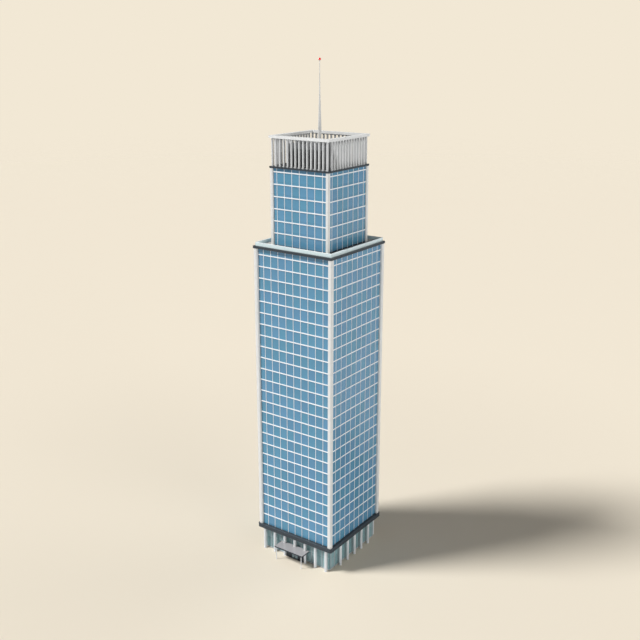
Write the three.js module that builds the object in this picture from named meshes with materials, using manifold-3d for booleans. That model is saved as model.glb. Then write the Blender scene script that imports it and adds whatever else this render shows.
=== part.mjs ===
// Office tower at one tenth of full size: 100 mm here is 1 m of the real building.
// Millimetres, +Z up, entrance front towards -Y. The origin is at the centre of the plan,
// on the underside of the ground floor.
import * as THREE from "three";
import { mergeVertices } from "three/addons/utils/BufferGeometryUtils.js";
import Module from "manifold-3d";

const wasm = await Module();
wasm.setup();

// Clearances
const gap = 0.3; // between two fixed pieces that touch
const doorGap = 6; // round every door leaf

// Storeys and levels
const storey = 400;
const slabThickness = 30;
const groundFloorTop = 15;
const lobbyTop = 830; // underside of the base band
const bandTop = 970;
const mainStoreys = 25;
const mainTopStrip = 205; // from the last main floor to the terrace
const terraceUnderside = bandTop + mainStoreys * storey + mainTopStrip;
const terraceTop = terraceUnderside + 80;
const upperFirstFloor = terraceTop + 420;
const upperFloors = 6;
const crownUnderside = upperFirstFloor + (upperFloors - 1) * storey + 120;
const crownTop = crownUnderside + 52;
const railUnderside = crownTop + 893;
const railTop = railUnderside + 82;
const mastTip = 17190;

// Half widths of the square plan
const bandHalf = 1610;
const bandCornerRadius = 70;
const terraceHalf = 1580;
const parapetHalf = 1522;
const crownHalf = 1162;
const railHalf = 1170;
const plantHalf = 720;
const lobbyGlassHalf = 1420;
const groundFloorHalf = 1430;

// Shafts: corner posts stand proud of the glass walls between them
const glassThickness = 20;
const mainShaft = { postHalf: 1573, postSide: 148, postRadius: 38, glassHalf: 1495, innerColumn: 700 };
const upperShaft = { postHalf: 1157, postSide: 118, postRadius: 32, glassHalf: 1105, innerColumn: 500 };
const innerColumnSide = 90;

// Terrace wall
const parapetHeight = 112;
const parapetThickness = 25;

// Colonnade round the lobby
const columnPitch = 448;
const columnRadius = 45;
const columnSides = 20;
const columnLine = 1533; // centre line, from the middle of the plan
const headPlateWidth = 100;
const headPlateThickness = 20;
const frontColumns = 7;
const sideColumns = 5;

// Entrance canopy
const canopyHalf = 605;
const canopyFront = -1924;
const canopyBack = -1478;
const canopyTop = 514;
const canopyThickness = 40;
const canopyPostRadius = 13;
const canopyPostX = 545;
const canopyPostY = -1895;
const portalTop = canopyTop - canopyThickness - gap;

// Entrance portal under the canopy: a deep dark surround, side screens and a pair of glass leaves
const portalHalf = 370;
const portalShell = 18;
const portalFront = -1548;
const screenThickness = 12;
const leafWidth = 127;
const leafHeight = 250;
const leafThickness = 12;
const doorPlane = -1530;
const doorwayHalf = leafWidth + 1.5 * doorGap;
const doorwayTop = groundFloorTop + leafHeight + 2 * doorGap;
const frameWidth = 20;
const frameDepth = 30;

// Louvre screen round the roof
const finPitch = 153.5;
const finThickness = 45;
const finDepth = 78;
const finFace = 1136; // outer edge of the fins, from the middle of the plan
const frontFins = 15;
const sideFins = 13;
const finSill = 12;
const railWidth = 140;

// Roof plant and mast
const plantHeight = 703;
const mastBaseRadius = 110;
const mastBaseHeight = 40;
const mastFootRadius = 56;
const mastTaper = [[0.18, 0.94], [0.45, 0.57], [0.64, 0.33], [0.82, 0.21], [1, 0.16]]; // height, radius
const mastSides = 20;
const beaconRadius = 42;

const finishes = {
  pale_paint: { color: 0xe6e4dc, roughness: 0.55, metalness: 0.0 },
  slate_cladding: { color: 0x42464c, roughness: 0.6, metalness: 0.1 },
  tower_glass: { color: 0x5f98bb, roughness: 0.15, metalness: 0.0 },
  lobby_glass: { color: 0x7c9f9e, roughness: 0.15, metalness: 0.0 },
  parapet_panel: { color: 0xd0e6e1, roughness: 0.4, metalness: 0.0 },
  grey_louvre: { color: 0xb9bdbc, roughness: 0.5, metalness: 0.3 },
  concrete: { color: 0xb4b0a7, roughness: 0.85, metalness: 0.0 },
  dark_frame: { color: 0x33383c, roughness: 0.45, metalness: 0.5 },
  plant_housing: { color: 0x55595b, roughness: 0.6, metalness: 0.2 },
  beacon_red: { color: 0xb8302a, roughness: 0.3, metalness: 0.0 },
};

const quarterTurn = Math.PI / 2;
const sides = ["front", "right", "back", "left"];
const corners = ["front_right", "back_right", "back_left", "front_left"];

const tower = new THREE.Group();
tower.name = "office_tower";

function addPiece(name, finish, geometry, turn = 0) {
  const piece = new THREE.Mesh(geometry, new THREE.MeshStandardMaterial(finishes[finish]));
  piece.name = name;
  piece.rotation.z = turn * quarterTurn;
  tower.add(piece);
}

// A box between two corners.
function block(low, high) {
  const size = high.map((value, axis) => value - low[axis]);
  const middle = high.map((value, axis) => (value + low[axis]) / 2);
  return new THREE.BoxGeometry(...size).translate(...middle);
}

// A square slab centred on the plan.
function plate(half, bottom, top) {
  return block([-half, -half, bottom], [half, half, top]);
}

// An upright round bar, its flats set square to the building.
function upright(x, y, bottom, top, radius, count = columnSides) {
  const bar = new THREE.CylinderGeometry(radius, radius, top - bottom, count);
  return bar.rotateX(quarterTurn).translate(x, y, (bottom + top) / 2);
}

// A needle whose taper eases off towards its head, from shares of its height and foot radius.
function spire(bottom, top) {
  const height = top - bottom;
  const outline = mastTaper.map(([rise, share]) => new THREE.Vector2(share * mastFootRadius, rise * height));
  const profile = [new THREE.Vector2(0, 0), new THREE.Vector2(mastFootRadius, 0), ...outline];
  profile.push(new THREE.Vector2(0, height));
  return new THREE.LatheGeometry(profile, mastSides).rotateX(quarterTurn).translate(0, 0, bottom);
}

// A square with rounded corners, about its own middle.
function roundedSquare(half, radius) {
  const shape = new THREE.Shape();
  const centre = half - radius;
  const centres = [[centre, centre], [-centre, centre], [-centre, -centre], [centre, -centre]];
  centres.forEach(([x, y], quarter) => {
    shape.absarc(x, y, radius, quarter * quarterTurn, (quarter + 1) * quarterTurn, false);
  });
  return shape;
}

// A square with its corners cut back to clear the corner posts.
function notchedSquare(half, notch) {
  const shape = new THREE.Shape();
  const quarter = [[half, -notch], [half, notch], [notch, notch]];
  const outline = [0, 1, 2, 3].flatMap((turn) =>
    quarter.map(([x, y]) => new THREE.Vector2(x, y).rotateAround(new THREE.Vector2(), turn * quarterTurn)),
  );
  shape.setFromPoints(outline);
  return shape;
}

function prism(shape, bottom, top) {
  const extrude = { depth: top - bottom, bevelEnabled: false, curveSegments: 6 };
  return new THREE.ExtrudeGeometry(shape, extrude).translate(0, 0, bottom);
}

function toSolid(geometry) {
  const bare = geometry.clone();
  bare.deleteAttribute("normal");
  bare.deleteAttribute("uv");
  const merged = mergeVertices(bare);
  const vertProperties = new Float32Array(merged.attributes.position.array);
  const triVerts = new Uint32Array(merged.index.array);
  return new wasm.Manifold(new wasm.Mesh({ numProp: 3, vertProperties, triVerts }));
}

function toGeometry(solid) {
  const mesh = solid.getMesh();
  const geometry = new THREE.BufferGeometry();
  geometry.setAttribute("position", new THREE.BufferAttribute(mesh.vertProperties, 3));
  geometry.setIndex(new THREE.BufferAttribute(mesh.triVerts, 1));
  geometry.computeVertexNormals();
  return geometry;
}

function joined(geometries) {
  return toGeometry(geometries.map(toSolid).reduce((whole, next) => whole.add(next)));
}

function cutFrom(geometry, cutters) {
  return toGeometry(cutters.map(toSolid).reduce((rest, next) => rest.subtract(next), toSolid(geometry)));
}

// Offsets of count like things at an even pitch, centred on zero.
function spread(count, pitch) {
  return Array.from({ length: count }, (_, index) => (index - (count - 1) / 2) * pitch);
}

function headPlate(count, clearance) {
  const halfLength = ((count - 1) / 2) * columnPitch + headPlateWidth / 2 + clearance;
  const halfWidth = headPlateWidth / 2 + clearance;
  const top = lobbyTop + headPlateThickness + clearance;
  const bottom = lobbyTop - clearance;
  return block([-halfLength, -columnLine - halfWidth, bottom], [halfLength, -columnLine + halfWidth, top]);
}

// A row of round columns under the plate that ties their heads, let into the base band.
// middleFoot is where the middle column starts: on the ground, or on the canopy.
function colonnade(count, middleFoot = 0) {
  const plateInBand = headPlate(count, 0);
  const columns = spread(count, columnPitch).map((x) => {
    const foot = x === 0 ? middleFoot : 0;
    return upright(x, -columnLine, foot, lobbyTop + headPlateThickness / 2, columnRadius);
  });
  return joined([plateInBand, ...columns]);
}

function baseBand() {
  const slots = sides.map((_, turn) =>
    headPlate(turn % 2 ? sideColumns : frontColumns, gap).rotateZ(turn * quarterTurn),
  );
  return cutFrom(prism(roundedSquare(bandHalf, bandCornerRadius), lobbyTop, bandTop), slots);
}

// Floors one storey apart, tied by the four inner columns that carry them.
function floorStack(shaft, firstFloor, count, bottom, top) {
  const half = shaft.glassHalf - glassThickness - gap;
  const notch = shaft.postHalf - shaft.postSide - gap;
  const floors = Array.from({ length: count }, (_, index) => {
    const level = firstFloor + index * storey;
    return prism(notchedSquare(half, notch), level - slabThickness, level);
  });
  const columns = corners.map((_, turn) => {
    const low = shaft.innerColumn - innerColumnSide / 2;
    const high = shaft.innerColumn + innerColumnSide / 2;
    return block([low, low, bottom + gap], [high, high, top - gap]).rotateZ(turn * quarterTurn);
  });
  return joined([...floors, ...columns]);
}

function shaftWalls(prefix, shaft, bottom, top) {
  const inner = shaft.postHalf - shaft.postSide;
  sides.forEach((side, turn) => {
    const low = [-inner + gap, -shaft.glassHalf, bottom + gap];
    const high = [inner - gap, -shaft.glassHalf + glassThickness, top - gap];
    addPiece(`${prefix}_glass_wall_${side}`, "tower_glass", block(low, high), turn);
  });
  const middle = shaft.postHalf - shaft.postSide / 2;
  corners.forEach((corner, turn) => {
    const post = prism(roundedSquare(shaft.postSide / 2, shaft.postRadius), bottom + gap, top - gap);
    addPiece(`${prefix}_corner_post_${corner}`, "pale_paint", post.translate(middle, -middle, 0), turn);
  });
}

function lobby() {
  const bottom = groundFloorTop + gap;
  const top = lobbyTop - gap;
  const outer = -lobbyGlassHalf;
  const inner = outer + glassThickness;
  const beside = portalHalf + gap;
  const end = lobbyGlassHalf;
  const walls = {
    lobby_wall_front_left: [[-end, outer, bottom], [-beside, inner, top]],
    lobby_wall_front_right: [[beside, outer, bottom], [end, inner, top]],
    lobby_wall_over_portal: [[-portalHalf, outer, portalTop + gap], [portalHalf, inner, top]],
    lobby_wall_back: [[-end, -inner, bottom], [end, -outer, top]],
    lobby_wall_right: [[-inner, inner + gap, bottom], [end, -inner - gap, top]],
    lobby_wall_left: [[-end, inner + gap, bottom], [inner, -inner - gap, top]],
  };
  addPiece("ground_floor", "concrete", plate(groundFloorHalf, 0, groundFloorTop));
  Object.entries(walls).forEach(([name, [low, high]]) => {
    addPiece(name, "lobby_glass", block(low, high));
  });
  addPiece("lobby_columns_front", "pale_paint", colonnade(frontColumns, canopyTop + gap));
  addPiece("lobby_columns_right", "pale_paint", colonnade(sideColumns), 1);
  addPiece("lobby_columns_back", "pale_paint", colonnade(frontColumns), 2);
  addPiece("lobby_columns_left", "pale_paint", colonnade(sideColumns), 3);
}

// The portal's shell runs from its front back to the inner face of the lobby glass, and its sill
// carries the ground floor out to its mouth.
function portal() {
  const back = -(lobbyGlassHalf - glassThickness);
  const floor = groundFloorTop + gap;
  const innerHalf = portalHalf - portalShell;
  const innerTop = portalTop - portalShell;
  const shell = cutFrom(block([-portalHalf, portalFront, 0], [portalHalf, back, portalTop]), [
    block([-innerHalf, portalFront - 1, groundFloorTop], [innerHalf, back + 1, innerTop]),
    block([-portalHalf - 1, -groundFloorHalf - gap, -1], [portalHalf + 1, back + 1, floor]),
  ]);
  addPiece("entrance_portal", "dark_frame", shell);

  const frameHalf = doorwayHalf + frameWidth;
  const front = doorPlane - frameDepth / 2;
  const rear = doorPlane + frameDepth / 2;
  const surround = block([-frameHalf, front, floor], [frameHalf, rear, innerTop - gap]);
  const doorway = block([-doorwayHalf, front - 1, -1], [doorwayHalf, rear + 1, doorwayTop]);
  addPiece("door_frame", "dark_frame", cutFrom(surround, [doorway]));

  [-1, 1].forEach((hand) => {
    const side = hand < 0 ? "left" : "right";
    const edges = [hand * (frameHalf + gap), hand * (innerHalf - gap)];
    const screen = block(
      [Math.min(...edges), doorPlane - screenThickness / 2, floor],
      [Math.max(...edges), doorPlane + screenThickness / 2, innerTop - gap],
    );
    addPiece(`portal_screen_${side}`, "dark_frame", screen);
    const hung = hand * (doorwayHalf - doorGap);
    const free = hung - hand * leafWidth;
    const leafBottom = groundFloorTop + doorGap;
    const leaf = block(
      [Math.min(hung, free), doorPlane - leafThickness / 2, leafBottom],
      [Math.max(hung, free), doorPlane + leafThickness / 2, leafBottom + leafHeight],
    );
    addPiece(`door_leaf_${side}`, "lobby_glass", leaf);
  });
}

function canopy() {
  const slab = block(
    [-canopyHalf, canopyFront, canopyTop - canopyThickness],
    [canopyHalf, canopyBack, canopyTop],
  );
  const holes = [-columnPitch, columnPitch].map((x) =>
    upright(x, -columnLine, canopyTop - 2 * canopyThickness, canopyTop + canopyThickness, columnRadius + 2 * gap),
  );
  addPiece("entrance_canopy", "dark_frame", cutFrom(slab, holes));
  ["left", "right"].forEach((side, index) => {
    const x = (2 * index - 1) * canopyPostX;
    addPiece(`canopy_post_${side}`, "pale_paint", upright(x, canopyPostY, 0, portalTop, canopyPostRadius));
  });
}

function terrace() {
  addPiece("terrace_slab", "slate_cladding", plate(terraceHalf, terraceUnderside, terraceTop));
  sides.forEach((side, turn) => {
    const end = turn % 2 ? parapetHalf - parapetThickness - gap : parapetHalf;
    const low = [-end, -parapetHalf, terraceTop + gap];
    const high = [end, -parapetHalf + parapetThickness, terraceTop + parapetHeight];
    addPiece(`terrace_parapet_${side}`, "parapet_panel", block(low, high), turn);
  });
}

// Upright fins on a low sill.
function louvreScreen(count) {
  const bottom = crownTop + gap;
  const inner = -finFace + finDepth;
  const halfFin = finThickness / 2;
  const fins = spread(count, finPitch).map((x) =>
    block([x - halfFin, -finFace, bottom], [x + halfFin, inner, railUnderside - gap]),
  );
  const end = ((count - 1) / 2) * finPitch + halfFin;
  return joined([block([-end, -finFace, bottom], [end, inner, bottom + finSill]), ...fins]);
}

function crown() {
  addPiece("crown_slab", "slate_cladding", plate(crownHalf, crownUnderside, crownTop));
  sides.forEach((side, turn) => {
    addPiece(`crown_screen_${side}`, "grey_louvre", louvreScreen(turn % 2 ? sideFins : frontFins), turn);
  });
  const hole = plate(railHalf - railWidth, railUnderside - 1, railTop + 1);
  addPiece("crown_rail", "grey_louvre", cutFrom(plate(railHalf, railUnderside, railTop), [hole]));
  const plantTop = crownTop + plantHeight;
  addPiece("roof_plant_room", "plant_housing", plate(plantHalf, crownTop + gap, plantTop));
  const mastFoot = plantTop + gap + mastBaseHeight;
  addPiece("mast_base", "grey_louvre", upright(0, 0, plantTop + gap, mastFoot, mastBaseRadius, mastSides));
  const mastHead = mastTip - 2 * beaconRadius;
  addPiece("mast", "grey_louvre", spire(mastFoot + gap, mastHead - gap));
  const ball = new THREE.SphereGeometry(beaconRadius, 16, 10).rotateX(quarterTurn);
  addPiece("mast_beacon", "beacon_red", ball.translate(0, 0, mastHead + beaconRadius));
}

lobby();
portal();
canopy();
addPiece("base_band", "slate_cladding", baseBand());
shaftWalls("main", mainShaft, bandTop, terraceUnderside);
addPiece(
  "main_floors",
  "concrete",
  floorStack(mainShaft, bandTop + storey, mainStoreys, bandTop, terraceUnderside),
);
terrace();
shaftWalls("upper", upperShaft, terraceTop, crownUnderside);
addPiece(
  "upper_floors",
  "concrete",
  floorStack(upperShaft, upperFirstFloor, upperFloors, terraceTop, crownUnderside),
);
crown();

export default tower;
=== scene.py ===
"""Office tower at one tenth of full size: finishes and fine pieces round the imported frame.

Metres, +Z up, entrance front towards -Y. The origin is at the centre of the plan, on the
underside of the ground floor, and 0.1 m here is 1 m of the real building.
"""

import logging
import math
from collections.abc import Sequence
from dataclasses import dataclass
from enum import Enum
from functools import cache
from typing import Any

import bmesh
import bpy
from mathutils import Euler, Matrix, Vector


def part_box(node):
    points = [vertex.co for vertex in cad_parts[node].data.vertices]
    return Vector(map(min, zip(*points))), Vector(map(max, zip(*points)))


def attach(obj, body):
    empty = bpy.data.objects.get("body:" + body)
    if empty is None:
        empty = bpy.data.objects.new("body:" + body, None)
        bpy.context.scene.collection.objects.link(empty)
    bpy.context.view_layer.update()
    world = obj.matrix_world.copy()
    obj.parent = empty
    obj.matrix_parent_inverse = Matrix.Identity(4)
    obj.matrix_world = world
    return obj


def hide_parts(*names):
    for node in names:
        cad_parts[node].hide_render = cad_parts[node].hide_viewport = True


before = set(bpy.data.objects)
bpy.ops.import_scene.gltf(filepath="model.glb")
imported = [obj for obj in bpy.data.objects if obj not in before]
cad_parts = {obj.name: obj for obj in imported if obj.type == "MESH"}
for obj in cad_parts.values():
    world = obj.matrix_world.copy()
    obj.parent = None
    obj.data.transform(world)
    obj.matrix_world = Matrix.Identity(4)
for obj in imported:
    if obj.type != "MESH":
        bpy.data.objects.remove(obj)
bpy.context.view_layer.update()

Colour = tuple[float, float, float]
Point = tuple[float, float, float]

QUARTER = math.pi / 2
LEVEL = (0.0, QUARTER, 0.0)  # lays an upright bar along X
PITCH = 0.3  # between curtain-wall mullions
STOREY = 0.4
FIRST_STOREY = 0.97  # top of the base band, where the storeys start
FIN_FACE = 1.136  # outer face of the crown's fins, from the plan's middle
FIN_DEPTH = 0.078
UPPER_START = 0.42  # from the terrace slab to the upper shaft's first transom
THIN_EDGE = 0.001  # edge radius of thin folded sheet
HAIR = 0.0005  # keeps a thin sheet off what it covers
WELD = 1e-6  # points this close are one
ROUND = 40  # faces round a full-sized turned piece
TONE = "pane_tone"  # per-piece shade, written by the node trees

log = logging.getLogger("office_tower")


class Side(Enum):
    """The four faces of the plan, in quarter turns from the entrance front."""

    FRONT = 0
    RIGHT = 1
    BACK = 2
    LEFT = 3

    @property
    def label(self) -> str:
        """The face's name in node names."""
        return self.name.lower()

    @property
    def angle(self) -> float:
        """Turn about the plan's middle that brings the front to this face."""
        return self.value * QUARTER


class Corner(Enum):
    """The four corners of the plan, in quarter turns from the front right one."""

    FRONT_RIGHT = 0
    BACK_RIGHT = 1
    BACK_LEFT = 2
    FRONT_LEFT = 3

    @property
    def label(self) -> str:
        """The corner's name in node names."""
        return self.name.lower()


class Hand(Enum):
    """Left and right of the entrance, as signs along X."""

    LEFT = -1
    RIGHT = 1

    @property
    def label(self) -> str:
        """The hand's name in node names."""
        return self.name.lower()


# ---------------------------------------------------------------- node trees


class Wire:
    """A node's output, with arithmetic that adds Math nodes to its tree."""

    def __init__(self, tree: "Tree", socket: bpy.types.NodeSocket) -> None:
        """Keeps the tree and the output socket."""
        self.tree = tree
        self.socket = socket

    def __add__(self, other: "Wire | float") -> "Wire":
        """self + other."""
        return self.tree.math("ADD", self, other)

    def __radd__(self, other: float) -> "Wire":
        """other + self."""
        return self.tree.math("ADD", other, self)

    def __sub__(self, other: "Wire | float") -> "Wire":
        """self - other."""
        return self.tree.math("SUBTRACT", self, other)

    def __rsub__(self, other: float) -> "Wire":
        """other - self."""
        return self.tree.math("SUBTRACT", other, self)

    def __mul__(self, other: "Wire | float") -> "Wire":
        """self * other."""
        return self.tree.math("MULTIPLY", self, other)

    def __rmul__(self, other: float) -> "Wire":
        """other * self."""
        return self.tree.math("MULTIPLY", other, self)

    def __truediv__(self, other: "Wire | float") -> "Wire":
        """self / other."""
        return self.tree.math("DIVIDE", self, other)

    def __rtruediv__(self, other: float) -> "Wire":
        """other / self."""
        return self.tree.math("DIVIDE", other, self)

    def __neg__(self) -> "Wire":
        """-self."""
        return self.tree.math("MULTIPLY", self, -1.0)

    def __abs__(self) -> "Wire":
        """The distance from zero."""
        return self.tree.math("ABSOLUTE", self)

    def __mod__(self, other: float) -> "Wire":
        """The remainder from zero up, as of a floor division."""
        return self.tree.math("FLOORED_MODULO", self, other)

    def __floordiv__(self, other: float) -> "Wire":
        """Whole times other goes into self."""
        return self.tree.math("FLOOR", self / other)

    def at_least(self, other: "Wire | float") -> "Wire":
        """The larger of the two."""
        return self.tree.math("MAXIMUM", self, other)

    def at_most(self, other: "Wire | float") -> "Wire":
        """The smaller of the two."""
        return self.tree.math("MINIMUM", self, other)


class Tree:
    """A node tree under construction."""

    def __init__(self, tree: bpy.types.NodeTree) -> None:
        """Wraps an existing, empty tree."""
        self.tree = tree

    def node(
        self,
        kind: str,
        settings: dict[str, Any] | None = None,
        values: dict[int | str, Any] | None = None,
    ) -> bpy.types.Node:
        """Adds one node.

        Args:
            kind: the node's type.
            settings: its properties, set first.
            values: its sockets' values, links, or lists of links for a multiple input.

        Returns:
            The node.
        """
        made = self.tree.nodes.new(kind)
        for name, setting in (settings or {}).items():
            setattr(made, name, setting)
        for name, value in (values or {}).items():
            for item in value if isinstance(value, list) else [value]:
                if isinstance(item, Wire):
                    self.tree.links.new(item.socket, made.inputs[name])
                else:
                    made.inputs[name].default_value = item
        return made

    def wire(
        self,
        kind: str,
        settings: dict[str, Any] | None = None,
        values: dict[int | str, Any] | None = None,
        output: int | str = 0,
    ) -> Wire:
        """Adds a node, as node() does, and returns one of its outputs."""
        return Wire(self, self.node(kind, settings, values).outputs[output])

    def math(self, operation: str, *values: "Wire | float") -> Wire:
        """Adds a Math node on one or two values."""
        return self.wire("ShaderNodeMath", {"operation": operation}, dict(enumerate(values)))

    def vector(self, x: "Wire | float", y: "Wire | float", z: "Wire | float") -> Wire:
        """Three values as one vector."""
        return self.wire("ShaderNodeCombineXYZ", None, {0: x, 1: y, 2: z})

    def parts(self, vector: Wire) -> tuple[Wire, Wire, Wire]:
        """A vector's three values."""
        split = self.node("ShaderNodeSeparateXYZ", None, {0: vector})
        return tuple(Wire(self, output) for output in split.outputs)


class ShaderTree(Tree):
    """A material's nodes."""

    COLOUR_A = 6  # sockets of a Mix node that blends colours
    COLOUR_B = 7
    COLOUR_OUT = 2

    def __init__(self, name: str) -> None:
        """Makes the material and empties it.

        Args:
            name: the material's name.
        """
        self.material = bpy.data.materials.new(name)
        self.material.use_nodes = True
        super().__init__(self.material.node_tree)
        self.tree.nodes.clear()

    def place(self) -> Wire:
        """The point on the piece, in the building's own metres."""
        return self.wire("ShaderNodeTexCoord", output="Object")

    def stretched(self, scale: Point) -> Wire:
        """The point, with each axis scaled."""
        return self.wire("ShaderNodeMapping", None, {"Vector": self.place(), "Scale": scale})

    def noise(self, scale: float, detail: float = 3.0, stretch: Point = (1, 1, 1)) -> Wire:
        """Soft noise about a half.

        Args:
            scale: waves to a metre.
            detail: octaves.
            stretch: a factor for each axis.

        Returns:
            The noise's value, 0 to 1.
        """
        values = {"Vector": self.stretched(stretch), "Scale": scale, "Detail": detail}
        return self.wire("ShaderNodeTexNoise", None, values)

    def ramp(self, value: Wire, low: float, high: float) -> Wire:
        """0 below low, 1 above high, smooth between."""
        values = {"Value": value, "From Min": low, "From Max": high}
        return self.wire("ShaderNodeMapRange", {"interpolation_type": "SMOOTHSTEP"}, values)

    def lines(self, value: Wire, pitch: float, start: float, width: float) -> Wire:
        """1 on narrow lines at an even pitch, 0 off them."""
        off_line = abs((value - (start - pitch / 2)) % pitch - pitch / 2)
        return 1.0 - self.ramp(off_line, width * 0.3, width * 0.7)

    def mix(self, share: Wire | float, low: Any, high: Any, mode: str = "MIX") -> Wire:
        """Two colours mixed, multiplied or otherwise blended.

        Args:
            share: how much of the second colour, 0 to 1.
            low: the first colour.
            high: the second colour.
            mode: how the Mix node blends them.

        Returns:
            The blended colour.
        """
        settings = {"data_type": "RGBA", "blend_type": mode}
        values = {0: share, self.COLOUR_A: low, self.COLOUR_B: high}
        return self.wire("ShaderNodeMix", settings, values, self.COLOUR_OUT)

    def tinted(self, colour: Colour | Wire, brightness: Wire) -> Wire:
        """A colour made brighter or darker from point to point."""
        base = colour if isinstance(colour, Wire) else (*colour, 1.0)
        return self.mix(1.0, base, brightness, "MULTIPLY")

    def tone(self) -> Wire:
        """The shade that each repeated piece was given."""
        return self.wire("ShaderNodeAttribute", {"attribute_name": TONE}, output="Fac")

    def bump(self, height: Wire, distance: float, strength: float) -> Wire:
        """A normal that follows a height, which spans distance in metres."""
        values = {"Height": height, "Distance": distance, "Strength": strength}
        return self.wire("ShaderNodeBump", None, values)

    def close(self, values: dict[str, Any]) -> bpy.types.Material:
        """Ends the tree in a Principled shader.

        Args:
            values: the shader's sockets, by name.

        Returns:
            The finished material.
        """
        surface = self.wire("ShaderNodeBsdfPrincipled", None, values)
        self.node("ShaderNodeOutputMaterial", None, {"Surface": surface})
        return self.material


class PieceTree(Tree):
    """A geometry node tree that ends in realised instances and one material."""

    FINISH = "Finish"
    SEED = 8  # sockets of a Random Value node that draws a float
    DRAWN = 1
    KINDS = {int: "NodeSocketInt", float: "NodeSocketFloat", tuple: "NodeSocketVector"}

    def __init__(self, name: str, inputs: dict[str, int | float | tuple]) -> None:
        """Makes the group.

        Args:
            name: the group's name.
            inputs: each named input with its default, whose type is the socket's.
        """
        group = bpy.data.node_groups.new(name, "GeometryNodeTree")
        super().__init__(group)
        sockets = group.interface
        sockets.new_socket("Geometry", in_out="OUTPUT", socket_type="NodeSocketGeometry")
        for label, value in inputs.items():
            kind = self.KINDS[type(value)]
            sockets.new_socket(label, in_out="INPUT", socket_type=kind).default_value = value
        sockets.new_socket(self.FINISH, in_out="INPUT", socket_type="NodeSocketMaterial")
        self.given = self.node("NodeGroupInput")

    def size(self, label: str) -> Wire:
        """One of the named inputs."""
        return Wire(self, self.given.outputs[label])

    def turned(self, geometry: Wire, angle: Wire) -> Wire:
        """Geometry turned about the plan's middle."""
        values = {"Geometry": geometry, "Rotation": self.vector(0.0, 0.0, angle)}
        return self.wire("GeometryNodeTransform", None, values)

    def line(self) -> Wire:
        """Makes points at even steps, by the inputs Count, First and Step.

        Returns:
            The points.
        """
        labels = {"Count": "Count", "Start Location": "First", "Offset": "Step"}
        values = {socket: self.size(label) for socket, label in labels.items()}
        return self.wire("GeometryNodeMeshLine", {"mode": "OFFSET"}, values)

    def lifted(self, geometry: Wire, level: Wire) -> Wire:
        """Geometry raised to a level."""
        values = {"Geometry": geometry, "Translation": self.vector(0.0, 0.0, level)}
        return self.wire("GeometryNodeTransform", None, values)

    def placed(
        self,
        points: Wire,
        shape: Wire,
        rotation: Wire | Point = (0.0, 0.0, 0.0),
        scale: Wire | Point = (1.0, 1.0, 1.0),
    ) -> Wire:
        """A shape on each point."""
        values = {"Points": points, "Instance": shape, "Rotation": rotation, "Scale": scale}
        return self.wire("GeometryNodeInstanceOnPoints", None, values)

    def shaded(self, instances: Wire, seed: Wire | int) -> Wire:
        """Gives each instance its own shade, 0 to 1.

        Args:
            instances: the repeated shapes.
            seed: fixes the random draw.

        Returns:
            The instances, each with its shade.
        """
        drawn = {"data_type": "FLOAT"}
        shade = self.wire("FunctionNodeRandomValue", drawn, {self.SEED: seed}, self.DRAWN)
        settings = {"data_type": "FLOAT", "domain": "INSTANCE"}
        values = {"Geometry": instances, "Name": TONE, "Value": shade}
        return self.wire("GeometryNodeStoreNamedAttribute", settings, values)

    def rounded_bar(self, width: Wire, depth: Wire, length: Wire, corner: Wire) -> Wire:
        """An upright bar with rounded edges, standing on its own origin.

        Args:
            width: along X.
            depth: along Y.
            length: along Z.
            corner: radius of its long edges.

        Returns:
            The closed bar.
        """
        rectangle = self.wire(
            "GeometryNodeCurvePrimitiveQuadrilateral", None, {"Width": width, "Height": depth}
        )
        outline = self.wire(
            "GeometryNodeFilletCurve",
            {"mode": "POLY"},
            {"Curve": rectangle, "Count": 2, "Radius": corner, "Limit Radius": True},
        )
        foot = self.wire("GeometryNodeFillCurve", {"mode": "NGONS"}, {"Curve": outline})
        raised = self.wire(
            "GeometryNodeExtrudeMesh",
            {"mode": "FACES"},
            {
                "Mesh": foot,
                "Offset": self.vector(0.0, 0.0, 1.0),
                "Offset Scale": length,
                "Individual": False,
            },
        )
        under = self.wire("GeometryNodeFlipFaces", None, {"Mesh": foot})
        both = self.wire("GeometryNodeJoinGeometry", None, {"Geometry": [raised, under]})
        return self.wire("GeometryNodeMergeByDistance", None, {"Geometry": both, "Distance": 1e-5})

    def end(self, geometry: Wire) -> bpy.types.NodeTree:
        """Realises the instances, gives them the finish and closes the tree.

        Args:
            geometry: everything that the tree has made.

        Returns:
            The closed tree.
        """
        real = self.wire("GeometryNodeRealizeInstances", None, {"Geometry": geometry})
        values = {"Geometry": real, "Material": self.size(self.FINISH)}
        dressed = self.wire("GeometryNodeSetMaterial", None, values)
        self.node("NodeGroupOutput", None, {0: dressed})
        return self.tree


@cache
def bar_row() -> bpy.types.NodeTree:
    """A row of like bars: mullions, transoms, rails, slats, fins and seams.

    Returns:
        The tree, with its sizes as inputs.
    """
    inputs = {
        "Count": 2,
        "First": (0.0, 0.0, 0.0),
        "Step": (1.0, 0.0, 0.0),
        "Width": 0.02,
        "Depth": 0.02,
        "Length": 1.0,
        "Corner": 0.002,
        "Lay": (0.0, 0.0, 0.0),
        "Turn": 0.0,
        "Seed": 1,
    }
    tree = PieceTree("bar_row", inputs)
    bar = tree.rounded_bar(*(tree.size(name) for name in ("Width", "Depth", "Length", "Corner")))
    row = tree.shaded(tree.placed(tree.line(), bar, tree.size("Lay")), tree.size("Seed"))
    return tree.end(tree.turned(row, tree.size("Turn")))


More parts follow.
